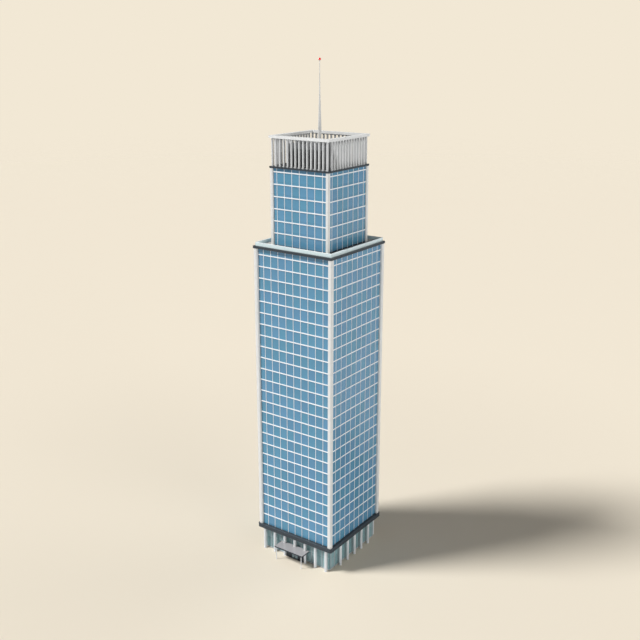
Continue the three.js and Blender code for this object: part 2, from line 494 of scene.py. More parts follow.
@cache
def pane_grid() -> bpy.types.NodeTree:
    """Raised panels between mullions and floors, cut to the wall's edges.

    Returns:
        The tree, with its sizes as inputs.
    """
    inputs = {
        "Columns": 10,
        "Rows": 26,
        "Pitch": PITCH,
        "Storey": STOREY,
        "Half width": 1.4,
        "Bottom": 1.0,
        "First floor": 1.4,
        "Top": 11.2,
        "Plane": 1.5,
        "Thickness": 0.004,
        "Joint": 0.01,
        "Chamfer": 0.97,
        "Turn": 0.0,
        "Seed": 1,
    }
    tree = PieceTree("pane_grid", inputs)
    columns = tree.size("Columns")
    count = columns * tree.size("Rows")
    points = tree.wire("GeometryNodeMeshLine", {"mode": "OFFSET"}, {"Count": count})
    index = tree.wire("GeometryNodeInputIndex")
    row = (index + 0.5) // columns
    column = index - row * columns
    half, pitch, storey = tree.size("Half width"), tree.size("Pitch"), tree.size("Storey")
    west = (column - columns / 2) * pitch
    left = west.at_least(-half)
    right = (west + pitch).at_most(half)
    ceiling = tree.size("First floor") + row * storey
    low = (ceiling - storey).at_least(tree.size("Bottom"))
    high = ceiling.at_most(tree.size("Top"))
    joint, thickness = tree.size("Joint"), tree.size("Thickness")
    middle = tree.vector(
        (left + right) / 2, -(tree.size("Plane") + thickness / 2), (low + high) / 2
    )
    size = tree.vector(right - left - joint, thickness, high - low - joint)
    values = {"Geometry": points, "Position": middle}
    spots = tree.wire("GeometryNodeSetPosition", None, values)
    block = tree.wire("GeometryNodeMeshCube", None, {"Size": (1.0, 1.0, 1.0)})
    facing = tree.parts(tree.wire("GeometryNodeInputNormal"))[1]
    front = tree.math("LESS_THAN", facing, -0.5)
    raised = tree.node(
        "GeometryNodeExtrudeMesh",
        {"mode": "FACES"},
        {"Mesh": block, "Selection": front, "Offset Scale": 0.6},
    )
    values = {
        "Geometry": Wire(tree, raised.outputs["Mesh"]),
        "Selection": Wire(tree, raised.outputs["Top"]),
        "Scale": tree.size("Chamfer"),
    }
    pane = tree.wire("GeometryNodeScaleElements", {"domain": "FACE"}, values)
    panes = tree.shaded(tree.placed(spots, pane, scale=size), tree.size("Seed"))
    return tree.end(tree.turned(panes, tree.size("Turn")))


@cache
def column_row() -> bpy.types.NodeTree:
    """Round columns, each with a shoe at its foot and a collar at its head.

    Returns:
        The tree, with its sizes as inputs.
    """
    inputs = {
        "Count": 7,
        "First": (0.0, 0.0, 0.0),
        "Step": (1.0, 0.0, 0.0),
        "Radius": 0.045,
        "Height": 0.8,
        "Collar": 0.005,
        "Collar height": 0.014,
        "Turn": 0.0,
    }
    tree = PieceTree("column_row", inputs)
    radius, height = tree.size("Radius"), tree.size("Height")
    rise = tree.size("Collar height")
    wide = radius + tree.size("Collar")
    shoulder = radius + tree.size("Collar") * 0.45

    def drum(around: Wire, bottom: Wire | float, tall: Wire) -> Wire:
        """A round drum.

        Args:
            around: its radius.
            bottom: the level that it stands on.
            tall: its height.

        Returns:
            The drum.
        """
        values = {"Vertices": ROUND, "Radius": around, "Depth": tall}
        shape = tree.wire("GeometryNodeMeshCylinder", None, values)
        return tree.lifted(shape, bottom + tall / 2)

    parts = [
        drum(radius, 0.0, height),
        drum(wide, 0.0, rise),
        drum(wide, height - rise, rise),
        drum(shoulder, rise, rise * 0.5),
        drum(shoulder, height - rise * 1.5, rise * 0.5),
    ]
    column = tree.wire("GeometryNodeJoinGeometry", None, {"Geometry": parts})
    return tree.end(tree.turned(tree.placed(tree.line(), column), tree.size("Turn")))


@cache
def bolt_ring() -> bpy.types.NodeTree:
    """Small upright studs or ribs round a circle.

    Returns:
        The tree, with its sizes as inputs.
    """
    inputs = {
        "Count": 8,
        "Circle": 0.1,
        "Level": 0.0,
        "Width": 0.01,
        "Depth": 0.01,
        "Height": 0.01,
        "Corner": 0.003,
    }
    tree = PieceTree("bolt_ring", inputs)
    values = {"Vertices": tree.size("Count"), "Radius": tree.size("Circle")}
    circle = tree.wire("GeometryNodeMeshCircle", None, values)
    sizes = (tree.size(name) for name in ("Width", "Depth", "Height", "Corner"))
    stud = tree.rounded_bar(*sizes)
    spin = tree.wire("GeometryNodeInputIndex") * math.tau / tree.size("Count")
    ring = tree.placed(circle, stud, tree.vector(0.0, 0.0, spin))
    return tree.end(tree.lifted(ring, tree.size("Level")))


@cache
def paver_field() -> bpy.types.NodeTree:
    """A square field of slabs with open joints, clear of whatever stands in its middle.

    Returns:
        The tree, with its sizes as inputs.
    """
    inputs = {
        "Count": 20,
        "Half width": 1.5,
        "Clear half width": 1.2,
        "Level": 0.0,
        "Thickness": 0.006,
        "Joint": 0.004,
        "Seed": 1,
    }
    tree = PieceTree("paver_field", inputs)
    count, half = tree.size("Count"), tree.size("Half width")
    side = half * 2.0 / count
    span = half * 2.0 - side
    values = {"Size X": span, "Size Y": span, "Vertices X": count, "Vertices Y": count}
    grid = tree.wire("GeometryNodeMeshGrid", None, values)
    x, y, _ = tree.parts(tree.wire("GeometryNodeInputPosition"))
    reach = abs(x).at_least(abs(y)) - side / 2
    inside = tree.math("LESS_THAN", reach, tree.size("Clear half width"))
    values = {"Geometry": grid, "Selection": inside}
    kept = tree.wire("GeometryNodeDeleteGeometry", {"domain": "POINT"}, values)
    sizes = [side - tree.size("Joint"), side - tree.size("Joint"), tree.size("Thickness")]
    slab = tree.rounded_bar(*sizes, tree.size("Joint"))
    slabs = tree.shaded(tree.placed(kept, slab), tree.size("Seed"))
    return tree.end(tree.lifted(slabs, tree.size("Level")))


# ------------------------------------------------------------------ finishes


@dataclass(frozen=True)
class Finish:
    """A surface finish, made once for the whole building."""

    name: str
    colour: Colour
    roughness: float = 0.5
    metallic: float = 0.0

    @cache
    def material(self) -> bpy.types.Material:
        """The finish as a material."""
        return self.build(ShaderTree(self.name))

    def build(self, tree: ShaderTree) -> bpy.types.Material:
        """Fills the material's nodes; each kind of finish has its own."""
        raise NotImplementedError


@dataclass(frozen=True)
class SheetPaint(Finish):
    """Factory-painted sheet: faint cloudiness, rain streaks, and fine joints between sheets."""

    cloud: float = 0.05
    streak: float = 0.05
    streak_scale: float = 18.0
    grain_scale: float = 260.0
    grain_height: float = 0.04  # a share of the joints' depth
    joints: Point = (0.0, 0.0, 0.0)  # pitch along each axis, 0 for none
    starts: Point = (0.0, 0.0, 0.0)
    joint_width: float = 0.006
    joint_depth: float = 0.002
    joint_shade: float = 0.35
    coat: float = 0.0

    def build(self, tree: ShaderTree) -> bpy.types.Material:
        """Paint with joints pressed in.

        Args:
            tree: the material's empty tree.

        Returns:
            The material.
        """
        drift = tree.noise(0.9, 4.0) - 0.5
        streaks = tree.noise(self.streak_scale, 4.0, (1.0, 1.0, 0.05)) - 0.5
        shade = 1.0 + drift * (2 * self.cloud) + streaks * (2 * self.streak)
        grain = tree.noise(self.grain_scale, 2.0) - 0.5
        height = grain * self.grain_height
        axes = tree.parts(tree.place())
        for axis, pitch, start in zip(axes, self.joints, self.starts):
            if pitch:
                line = tree.lines(axis, pitch, start, self.joint_width)
                shade = shade * (1.0 - line * self.joint_shade)
                height = height - line
        rough = self.roughness + drift * 0.12 + streaks * 0.08
        return tree.close(
            {
                "Base Color": tree.tinted(self.colour, shade),
                "Roughness": rough,
                "Coat Weight": self.coat,
                "Normal": tree.bump(height, self.joint_depth, 0.7),
            }
        )


@dataclass(frozen=True)
class PaneGlass(Finish):
    """Solar-control glass: each pane has its own tone between two colours."""

    second: Colour = (0.2, 0.3, 0.5)
    # strength of the painted cloud reflections
    drift: float = 0.08
    storey_start: float = 0.0
    pane_spread: float = 0.10  # how much the panes' brightness differs
    fall: float = 0.10  # painted shade: how much a pane darkens from sill to head, under the transom above
    coat: float = 0.35
    coat_roughness: float = 0.06

    def build(self, tree: ShaderTree) -> bpy.types.Material:
        """Tone by pane, soft painted cloud reflections, painted shade towards each pane's head and a
        slow ripple.

        Args:
            tree: the material's empty tree.

        Returns:
            The material.
        """
        tone = tree.ramp(tree.tone(), 0.0, 1.0)
        mixed = tree.mix(tone, (*self.colour, 1.0), (*self.second, 1.0))
        other = (tree.tone() * 7.31) % 1.0
        # Painted reflection: soft clouds of sky over the glass.
        sky = tree.noise(0.55, 2.0, (1.0, 1.0, 0.7)) - 0.5
        level = (tree.parts(tree.place())[2] - self.storey_start) % STOREY / STOREY
        shade = 1.0 + sky * (2 * self.drift)
        # Painted shade: each pane darker towards its head, under the transom above.
        shade = shade + (other - 0.5) * self.pane_spread + (0.5 - level) * self.fall
        ripple = tree.noise(5.0, 1.0, (1.0, 1.0, 0.6))
        return tree.close(
            {
                "Base Color": tree.tinted(mixed, shade),
                "Roughness": self.roughness + (other - 0.5) * 0.06,
                "Coat Weight": self.coat,
                "Coat Roughness": self.coat_roughness,
                "Normal": tree.bump(ripple, 0.004, 0.35),
            }
        )


@dataclass(frozen=True)
class DrawnMetal(Finish):
    """Anodised or galvanised metal with drawing lines along its length."""

    grain: Point = (1.0, 1.0, 0.03)
    mottle: float = 0.06
    line_scale: float = 160.0
    inner_shade: float = 0.0  # painted shade: how much darker the inner edges of the fins are, deep in the screen

    def build(self, tree: ShaderTree) -> bpy.types.Material:
        """Fine lines over a slow mottle, a different shade on each piece, and painted shade towards
        the fins' inner edges.

        Args:
            tree: the material's empty tree.

        Returns:
            The material.
        """
        lines = tree.noise(self.line_scale, 2.0, self.grain) - 0.5
        drift = tree.noise(2.6, 3.0) - 0.5
        shade = 1.0 + lines * 0.10 + drift * (2 * self.mottle) + (tree.tone() - 0.5) * 0.06
        # Painted shade: the fins darken towards their inner edges, deep in the screen where shade
        # falls.
        if self.inner_shade:
            x, y, _ = tree.parts(tree.place())
            reach = abs(x).at_least(abs(y))
            inside = 1.0 - tree.ramp(reach, FIN_FACE - FIN_DEPTH, FIN_FACE)
            shade = shade * (1.0 - inside * self.inner_shade)
        return tree.close(
            {
                "Base Color": tree.tinted(self.colour, shade),
                "Roughness": self.roughness + lines * 0.12 + drift * 0.1,
                "Metallic": self.metallic,
                "Normal": tree.bump(lines, 0.0006, 0.5),
            }
        )


@dataclass(frozen=True)
class CastSlab(Finish):
    """Cast concrete or stone: pores, stains and a tone for each slab."""

    spread: float = 0.12

    def build(self, tree: ShaderTree) -> bpy.types.Material:
        """Blotches, pores and the slab's own tone.

        Args:
            tree: the material's empty tree.

        Returns:
            The material.
        """
        blotch = tree.noise(3.5, 5.0) - 0.5
        pores = tree.ramp(tree.noise(90.0, 3.0), 0.30, 0.42)
        shade = 1.0 + blotch * 0.22 + (tree.tone() - 0.5) * self.spread - (1.0 - pores) * 0.10
        return tree.close(
            {
                "Base Color": tree.tinted(self.colour, shade),
                "Roughness": self.roughness + blotch * 0.15,
                "Normal": tree.bump(pores + blotch * 0.5, 0.0015, 0.6),
            }
        )


@dataclass(frozen=True)
class LensGlass(Finish):
    """The beacon's ribbed lens, faintly lit from within."""

    glow: float = 0.6
    rib_pitch: float = 0.009
    rib_width: float = 0.006

    def build(self, tree: ShaderTree) -> bpy.types.Material:
        """Ribs round the lens, each rib a little lighter.

        Args:
            tree: the material's empty tree.

        Returns:
            The material.
        """
        level = tree.parts(tree.place())[2]
        rings = tree.lines(level, self.rib_pitch, 0.0, self.rib_width)
        cloud = tree.noise(30.0, 2.0) - 0.5
        colour = tree.tinted(self.colour, 0.85 + rings * 0.3 + cloud * 0.1)
        return tree.close(
            {
                "Base Color": colour,
                "Roughness": self.roughness + cloud * 0.05,
                "Emission Color": colour,
                "Emission Strength": self.glow,
                "Coat Weight": 0.5,
                "Normal": tree.bump(rings, 0.001, 0.5),
            }
        )


POST_PAINT = SheetPaint(
    "post_panels",
    (0.85, 0.845, 0.81),
    0.42,
    joints=(0.0, 0.0, STOREY),
    starts=(0.0, 0.0, FIRST_STOREY),
    joint_shade=0.18,
    streak=0.035,
)
COLUMN_PAINT = SheetPaint("column_paint", (0.88, 0.885, 0.88), 0.35, cloud=0.03, coat=0.2)
MULLION_PAINT = SheetPaint("mullion_paint", (0.86, 0.88, 0.88), 0.35, cloud=0.02, streak=0.02)
LOBBY_BAR_PAINT = SheetPaint("lobby_bar_paint", (0.55, 0.57, 0.57), 0.35, cloud=0.02, streak=0.02)
TRANSOM_PAINT = SheetPaint("transom_paint", (0.97, 0.985, 0.99), 0.35, cloud=0.02, streak=0.03)
SLATE_PANELS = SheetPaint(
    "slate_panels",
    (0.042, 0.053, 0.062),
    0.55,
    cloud=0.14,
    streak=0.16,
    joints=(PITCH, PITCH, 0.0),
    starts=(PITCH / 2, PITCH / 2, 0.0),
    joint_shade=0.6,
)
SLATE_TRIM = SheetPaint("slate_trim", (0.055, 0.066, 0.077), 0.4, cloud=0.08, streak=0.05)
PARAPET_PANELS = SheetPaint(
    "parapet_panels",
    (0.82, 0.96, 0.96),
    0.4,
    joints=(PITCH, PITCH, 0.0),
    joint_shade=0.15,
)
PARAPET_CAP = SheetPaint("parapet_cap", (0.91, 0.99, 0.99), 0.35, cloud=0.03, streak=0.02)
CANOPY_SHEET = SheetPaint(
    "canopy_sheet", (0.44, 0.43, 0.44), 0.16, cloud=0.05, streak=0.0, coat=1.0
)
DARK_PAINT = SheetPaint("dark_frame_paint", (0.035, 0.042, 0.05), 0.4, cloud=0.1, streak=0.04)
# Near-black paint on the screens beside the doors; their darkness is partly painted shade from the
# canopy.
SCREEN_PAINT_AND_SHADE = SheetPaint(
    "portal_screen_paint", (0.03, 0.035, 0.04), 0.35, cloud=0.1, joints=(0.0, 0.0, 0.15)
)
PLANT_SHEET = SheetPaint("plant_sheet", (0.16, 0.165, 0.17), 0.55, cloud=0.1, streak=0.1)
GASKET = SheetPaint("gasket_rubber", (0.035, 0.055, 0.075), 0.6, cloud=0.05, streak=0.02)
TOWER_GLASS = PaneGlass(
    "tower_glass_pane",
    (0.098, 0.30, 0.445),
    0.22,
    second=(0.112, 0.292, 0.468),
    storey_start=FIRST_STOREY,
)
LOBBY_GLASS = PaneGlass(
    "lobby_glass_pane", (0.25, 0.41, 0.42), 0.16, second=(0.30, 0.45, 0.46), drift=0.12
)
DOOR_GLASS = PaneGlass("door_glass_pane", (0.34, 0.46, 0.47), 0.12, second=(0.37, 0.49, 0.49))
FIN_METAL = DrawnMetal("fin_metal", (0.80, 0.805, 0.795), 0.42, 0.1, inner_shade=0.35)
RAIL_METAL = DrawnMetal("rail_metal", (0.93, 0.93, 0.91), 0.42, 0.0, grain=(1.0, 1.0, 1.0))
MAST_METAL = DrawnMetal("mast_metal", (0.82, 0.82, 0.79), 0.4, 0.1)
STEEL = DrawnMetal("brushed_steel", (0.62, 0.63, 0.64), 0.3, 0.9)
FLOOR_CONCRETE = CastSlab("floor_concrete", (0.46, 0.43, 0.38), 0.85)
ROOF_PAVER = CastSlab("roof_paver", (0.50, 0.49, 0.46), 0.8, spread=0.2)
ROOF_DECK = CastSlab("roof_deck", (0.09, 0.092, 0.095), 0.85, spread=0.2)
BEACON_LENS = LensGlass("beacon_lens", (0.62, 0.03, 0.025), 0.18)


# --------------------------------------------------------------- mesh makers


def soften(mesh: bpy.types.Mesh, angle: float = 32.0) -> None:
    """Shades a mesh smooth, with its edges sharper than an angle kept crisp."""
    mesh.shade_smooth()
    mesh.set_sharp_from_angle(angle=math.radians(angle))


def settle(
    piece: bpy.types.Object,
    body: str = "root",
    stands_for: Sequence[str] = (),
) -> bpy.types.Object:
    """Rides a finished piece on its body and reports it.

    Args:
        piece: the finished object, at the origin.
        body: the body that it moves with.
        stands_for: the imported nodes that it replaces.

    Returns:
        The piece.
    """
    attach(piece, body)
    if stands_for:
        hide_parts(*stands_for)
    faces = len(piece.data.polygons)
    log.info("%s: %d faces on %s", piece.name, faces, body)
    return piece


def linked(name: str, mesh: bpy.types.Mesh) -> bpy.types.Object:
    """Puts a mesh in the scene.

    Args:
        name: the object's name.
        mesh: its mesh.

    Returns:
        The object, at the origin.
    """
    piece = bpy.data.objects.new(name, mesh)
    bpy.context.scene.collection.objects.link(piece)
    return piece


def grown(
    name: str,
    tree: bpy.types.NodeTree,
    sizes: dict[str, Any],
    finish: Finish,
    smooth: bool = False,
) -> bpy.types.Object:
    """Evaluates a piece tree into a plain mesh object.

    Args:
        name: the piece's name.
        tree: a tree of this script.
        sizes: values for the tree's named inputs.
        finish: what it is finished in.
        smooth: whether curved faces are shaded smooth.

    Returns:
        An object at the origin, with no modifier.
    """
    piece = linked(name, bpy.data.meshes.new(name))
    modifier = piece.modifiers.new("build", "NODES")
    modifier.node_group = tree
    values = {**sizes, PieceTree.FINISH: finish.material()}
    for item in tree.interface.items_tree:
        if item.item_type == "SOCKET" and item.in_out == "INPUT" and item.name in values:
            modifier[item.identifier] = values.pop(item.name)
    if values:
        raise ValueError(f"{tree.name} has no input named {sorted(values)}")
    graph = bpy.context.evaluated_depsgraph_get()
    mesh = bpy.data.meshes.new_from_object(
        piece.evaluated_get(graph), preserve_all_data_layers=True, depsgraph=graph
    )
    piece.modifiers.remove(modifier)
    mesh.name = name
    piece.data = mesh
    if smooth:
        soften(mesh)
    return piece


def shaped(name: str, shape: bmesh.types.BMesh, finish: Finish) -> bpy.types.Object:
    """Turns a bmesh into a finished, softened object.

    Args:
        name: the piece's name.
        shape: the bmesh, which this frees.
        finish: what it is finished in.

    Returns:
        An object at the origin.
    """
    bmesh.ops.remove_doubles(shape, verts=shape.verts, dist=WELD)
    bmesh.ops.recalc_face_normals(shape, faces=shape.faces)
    mesh = bpy.data.meshes.new(name)
    shape.to_mesh(mesh)
    shape.free()
    mesh.materials.append(finish.material())
    soften(mesh)
    return linked(name, mesh)


def add_box(shape: bmesh.types.BMesh, low: Point, high: Point, edge: float = 0.0) -> None:
    """Adds a box between two corners.

    Args:
        shape: the bmesh that gets it.
        low: its least corner.
        high: its greatest corner.
        edge: radius of its edges, 0 for sharp ones.
    """
    made = bmesh.ops.create_cube(shape, size=1.0)["verts"]
    middle = (Vector(low) + Vector(high)) / 2
    size = Vector(high) - Vector(low)
    for vert in made:
        vert.co = middle + Vector(a * b for a, b in zip(vert.co, size))
    if edge:
        edges = list({rim for vert in made for rim in vert.link_edges})
        bmesh.ops.bevel(shape, geom=edges, offset=edge, segments=2, affect="EDGES", profile=0.5)


def add_lathe(
    shape: bmesh.types.BMesh,
    profile: Sequence[tuple[float, float]],
    middle: tuple[float, float] = (0.0, 0.0),
    sides: int = ROUND,
) -> None:
    """Adds a turned solid.

    Args:
        shape: the bmesh that gets it.
        profile: (radius, level) from the foot up; a radius of 0 closes an end.
        middle: its axis on the plan.
        sides: faces round it.
    """
    rings: list[list[bmesh.types.BMVert]] = []
    for radius, level in profile:
        count = sides if radius > 0 else 1
        angles = [math.tau * step / count for step in range(count)]
        rings.append(
            [
                shape.verts.new(
                    (middle[0] + radius * math.cos(a), middle[1] + radius * math.sin(a), level)
                )
                for a in angles
            ]
        )
    for lower, upper in zip(rings, rings[1:]):
        for step in range(sides):
            after = (step + 1) % sides
            corners = [
                lower[step % len(lower)],
                lower[after % len(lower)],
                upper[after % len(upper)],
                upper[step % len(upper)],
            ]
            distinct = list(dict.fromkeys(corners))
            if len(distinct) > 2:
                shape.faces.new(distinct)


def add_square_sweep(
    shape: bmesh.types.BMesh,
    profile: Sequence[tuple[float, float]],
    corner: float = 0.0,
    steps: int = 6,
) -> None:
    """Adds a closed section carried round the square plan.

    Args:
        shape: the bmesh that gets it.
        profile: the section's (distance from the plan's middle, level) points, in order.
        corner: radius of the plan's corners for the outermost point.
        steps: faces round each rounded corner.
    """
    outermost = max(out for out, _ in profile)
    loops: list[list[bmesh.types.BMVert]] = []
    for turn in range(4):
        for step in range(steps + 1 if corner else 1):
            angle = turn * QUARTER + (step / steps * QUARTER if corner else 0.0)
            loop = []
            for out, level in profile:
                radius = corner - (outermost - out) if corner else 0.0
                centre = out - radius
                if corner:
                    spot = Matrix.Rotation(turn * QUARTER, 2) @ Vector((centre, centre))
                    x = spot.x + radius * math.cos(angle)
                    y = spot.y + radius * math.sin(angle)
                else:
                    spot = Matrix.Rotation(turn * QUARTER, 2) @ Vector((out, out))
                    x, y = spot
                loop.append(shape.verts.new((x, y, level)))
            loops.append(loop)
    for here, there in zip(loops, loops[1:] + loops[:1]):
        for point in range(len(profile)):
            after = (point + 1) % len(profile)
            shape.faces.new([here[point], there[point], there[after], here[after]])


def dress(finish: Finish, *nodes: str) -> None:
    """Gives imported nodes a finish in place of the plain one.

    Args:
        finish: what they are finished in.
        nodes: their names.
    """
    for name in nodes:
        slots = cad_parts[name].material_slots
        if not slots:
            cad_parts[name].data.materials.append(finish.material())
        for slot in slots:
            slot.material = finish.material()
    log.info("%s on %d packed nodes", finish.name, len(nodes))


# -------------------------------------------------------------- sub-assemblies


@dataclass
class CurtainWall:
    """One shaft's four walls: glass panes between mullions and transoms, and its posts."""

    prefix: str
    columns: int
    rows: int
    first_floor: float
    joint: float = 0.016
    pane_thickness: float = 0.004
    mullion_width: float = 0.019
    mullion_reach: float = 0.015
    transom_height: float = 0.036
    transom_reach: float = 0.021
    edge: float = 0.003

    def _wall(self, side: Side) -> str:
        """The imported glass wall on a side."""
        return f"{self.prefix}_glass_wall_{side.label}"

    def _measure(self) -> tuple[float, float, float, float]:
        """Plane, half width, bottom and top of the front wall."""
        low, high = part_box(self._wall(Side.FRONT))
        return -low.y, high.x, low.z, high.z

    def panes(self, side: Side) -> None:
        """Glass panes, each its own tone.

        Args:
            side: the face of the plan.
        """
        plane, half, bottom, top = self._measure()
        sizes = {
            "Columns": self.columns,
            "Rows": self.rows,
            "Half width": half,
            "Bottom": bottom,
            "First floor": self.first_floor,
            "Top": top,
            "Plane": plane,
            "Thickness": self.pane_thickness,
            "Joint": self.joint,
            "Turn": side.angle,
            "Seed": 11 + side.value + len(self.prefix),
        }
        name = f"{self.prefix}_panes_{side.label}"
        settle(grown(name, pane_grid(), sizes, TOWER_GLASS))

    def mullions(self, side: Side) -> None:
        """Upright bars over the joints between panes.

        Args:
            side: the face of the plan.
        """
        plane, _, bottom, top = self._measure()
        count = self.columns - 1
        sizes = {
            "Count": count,
            "First": (-(count - 1) / 2 * PITCH, -(plane + self.mullion_reach / 2), bottom),
            "Step": (PITCH, 0.0, 0.0),
            "Width": self.mullion_width,
            "Depth": self.mullion_reach,
            "Length": top - bottom,
            "Corner": self.edge,
            "Turn": side.angle,
        }
        name = f"{self.prefix}_mullions_{side.label}"
        settle(grown(name, bar_row(), sizes, MULLION_PAINT))

    def transoms(self, side: Side) -> None:
        """Level bars at each floor, from post to post.

        Args:
            side: the face of the plan.
        """
        plane, half, _, _ = self._measure()
        sizes = {
            "Count": self.rows - 1,
            "First": (-half, -(plane + self.transom_reach / 2), self.first_floor),
            "Step": (0.0, 0.0, STOREY),
            "Width": self.transom_height,
            "Depth": self.transom_reach,
            "Length": 2 * half,
            "Corner": self.edge,
            "Lay": LEVEL,
            "Turn": side.angle,
        }
        name = f"{self.prefix}_transoms_{side.label}"
        settle(grown(name, bar_row(), sizes, TRANSOM_PAINT))

    def build(self) -> None:
        """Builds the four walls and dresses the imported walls, posts and floors."""
        for side in Side:
            self.panes(side)
            self.mullions(side)
            self.transoms(side)
        dress(GASKET, *(self._wall(side) for side in Side))
        dress(POST_PAINT, *(f"{self.prefix}_corner_post_{corner.label}" for corner in Corner))
        dress(FLOOR_CONCRETE, f"{self.prefix}_floors")


@dataclass
class Lobby:
    """The glazed ground storey behind its colonnade."""

    bar_pitch: float = 0.224
    bar_width: float = 0.014
    bar_depth: float = 0.022
    bar_count: int = 13
    edge: float = 0.002
    pane_joint: float = 0.01
    rail_height: float = 0.03
    rail_depth: float = 0.018
    column_radius: float = 0.045
    column_pitch: float = 0.448
    column_line: float = 1.533
    collar: float = 0.004

    def _levels(self) -> tuple[float, float, float]:
        """Plane, bottom and top of the lobby glass."""
        low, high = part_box("lobby_wall_front_left")
        return -low.y, low.z, high.z

    def panes(self, side: Side) -> None:
        """Tall glass panes between bars.

        Args:
            side: the face of the plan.
        """
        plane, bottom, top = self._levels()
        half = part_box("lobby_wall_back")[1].x - self.edge
        sizes = {
            "Columns": self.bar_count + 1,
            "Rows": 2,
            "Pitch": self.bar_pitch,
            "Storey": (top - bottom) / 2,
            "Half width": half,
            "Bottom": bottom,
            "First floor": (top + bottom) / 2,
            "Top": top,
            "Plane": plane,
            "Joint": self.pane_joint,
            "Turn": side.angle,
            "Seed": 31 + side.value,
        }
        settle(grown(f"lobby_panes_{side.label}", pane_grid(), sizes, LOBBY_GLASS))

    def bars(self, side: Side) -> None:
        """Upright bars behind each column and at mid-bay.

        Args:
            side: the face of the plan.
        """
        plane, bottom, top = self._levels()
        start = -(self.bar_count - 1) / 2 * self.bar_pitch
        sizes = {
            "Count": self.bar_count,
            "First": (start, -plane - self.bar_depth / 2, bottom),
            "Step": (self.bar_pitch, 0.0, 0.0),
            "Width": self.bar_width,
            "Depth": self.bar_depth,
            "Length": top - bottom,
            "Corner": self.edge,
            "Turn": side.angle,
        }
        settle(grown(f"lobby_bars_{side.label}", bar_row(), sizes, LOBBY_BAR_PAINT))

    def rails(self, side: Side) -> None:
        """Sill and head rails.

        Args:
            side: the face of the plan.
        """
        plane, bottom, top = self._levels()
        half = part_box("lobby_wall_back")[1].x
        sizes = {
            "Count": 2,
            "First": (-half, -plane - self.rail_depth / 2, bottom + self.rail_height / 2),
            "Step": (0.0, 0.0, top - bottom - self.rail_height),
            "Width": self.rail_height,
            "Depth": self.rail_depth,
            "Length": 2 * half,
            "Corner": self.edge,
            "Lay": LEVEL,
            "Turn": side.angle,
        }
        settle(grown(f"lobby_rails_{side.label}", bar_row(), sizes, LOBBY_BAR_PAINT))

    def columns(self, side: Side) -> None:
        """The colonnade, smooth round columns with shoes and collars.

        Args:
            side: the face of the plan.
        """
        if side is Side.FRONT:
            canopy_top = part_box("entrance_canopy")[1].z
            self._row(side, "front_left", -3, 3)
            self._row(side, "front_right", 1, 3)
            self._row(side, "over_canopy", 0, 1, canopy_top)
        elif side is Side.BACK:
            self._row(side, "back", -3, 7)
        else:
            self._row(side, side.label, -2, 5)

    def _row(self, side: Side, label: str, first: int, count: int, foot: float = 0.0) -> None:
        """One run of columns.

        Args:
            side: the face that it stands along.
            label: the end of the piece's name.
            first: where it starts, in bays from the face's middle.
            count: how many columns.
            foot: the level that they stand on.
        """
        sizes = {
            "Count": count,
            "First": (first * self.column_pitch, -self.column_line, foot),
            "Step": (self.column_pitch, 0.0, 0.0),
            "Radius": self.column_radius,
            "Height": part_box("base_band")[0].z - foot,
            "Collar": self.collar,
            "Turn": side.angle,
        }
        piece = grown(f"colonnade_{label}", column_row(), sizes, COLUMN_PAINT, smooth=True)
        settle(piece, stands_for=[f"lobby_columns_{side.label}"])

    def build(self) -> None:
        """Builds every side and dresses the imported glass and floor."""
        for side in Side:
            self.panes(side)
            self.bars(side)
            self.rails(side)
            self.columns(side)
        walls = [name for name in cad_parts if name.startswith("lobby_wall_")]
        dress(GASKET, *walls)
        dress(FLOOR_CONCRETE, "ground_floor")


@dataclass
class SlateBands:
    """The three dark slabs: their panels, and a folded trim along each edge."""

    lip: float = 0.004
    fold: float = 0.012
    tuck: float = 0.03
    sheet: float = 0.0015
    slip: float = 0.0002
    base_corner: float = 0.074

    def trim(self, node: str, corner: float) -> None:
        """Folded flashings along a slab's upper and lower edges.

        Args:
            node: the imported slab.
            corner: radius of the plan's corners, 0 for sharp ones.
        """
        low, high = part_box(node)
        half = high.x
        shape = bmesh.new()
        for level, inward in ((high.z, -1), (low.z, 1)):
            profile = [
                (half - self.tuck, level - inward * self.sheet),
                (half + self.lip, level - inward * self.sheet),
                (half + self.lip, level + inward * self.fold),
                (half + HAIR, level + inward * self.fold),
                (half + HAIR, level - inward * self.slip),
                (half - self.tuck, level - inward * self.slip),
            ]
            add_square_sweep(shape, profile, corner)
        settle(shaped(f"{node}_trim", shape, SLATE_TRIM))

    def build(self) -> None:
        """Dresses the slabs and adds their trims."""
        dress(SLATE_PANELS, "base_band", "terrace_slab", "crown_slab")
        self.trim("base_band", self.base_corner)
        self.trim("terrace_slab", 0.0)
        self.trim("crown_slab", 0.0)


